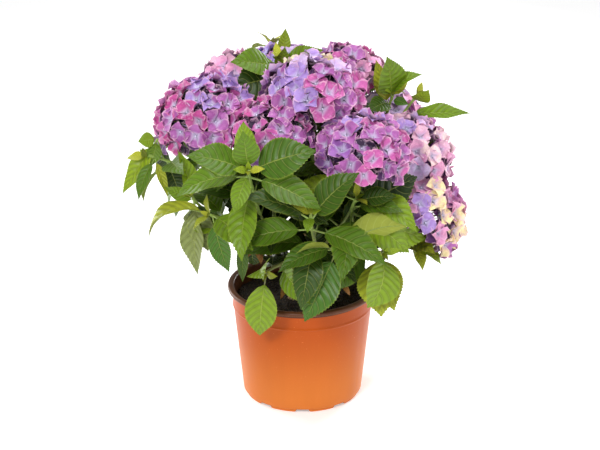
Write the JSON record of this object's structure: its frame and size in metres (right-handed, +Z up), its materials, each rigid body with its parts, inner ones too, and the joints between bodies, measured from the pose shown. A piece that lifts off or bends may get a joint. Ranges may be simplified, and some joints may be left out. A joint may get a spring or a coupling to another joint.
{
  "type": "potted hydrangea shrub",
  "caption": "Mophead hydrangea shrub with pink and lilac flower heads over broad green leaves, standing in a round orange-brown plastic pot.",
  "frame": {"origin": "middle of the pot's flat underside, on the floor", "axes": "+Z up through the plant, -Y towards the front of the plant, where its front flower heads and the leaves that hang over the rim are, +X to the right seen from the front"},
  "size_m": [0.5095, 0.495, 0.5685],
  "materials": {
    "pot_plastic": "satin",
    "soil": "rough",
    "bark": "rough",
    "foliage": "satin",
    "blossom": "matte"
  },
  "bodies": {
    "root": {"pot": "pot_plastic", "potting_soil": "soil", "woody_foot": "bark", "cane_front": "bark", "cane_front_left": "bark", "cane_right_front": "bark", "cane_left": "bark", "cane_right": "bark", "cane_middle": "bark", "cane_back_left": "bark", "cane_back_right": "bark", "foliage_front": "foliage", "foliage_front_left": "foliage", "foliage_right_front": "foliage", "foliage_left": "foliage", "foliage_right": "foliage", "foliage_middle": "foliage", "foliage_back_left": "foliage", "foliage_back_right": "foliage", "flower_head_front_right": "blossom", "flower_head_front_left": "blossom", "flower_head_low_right": "blossom", "flower_head_left": "blossom", "flower_head_right": "blossom", "flower_head_back_right": "blossom", "flower_head_middle": "blossom", "flower_head_top_right": "blossom", "flower_head_top": "blossom", "flower_head_back_left": "blossom", "flower_head_low_back_left": "blossom", "flower_head_back": "blossom", "flower_head_low_back": "blossom"}
  },
  "joints": []
}
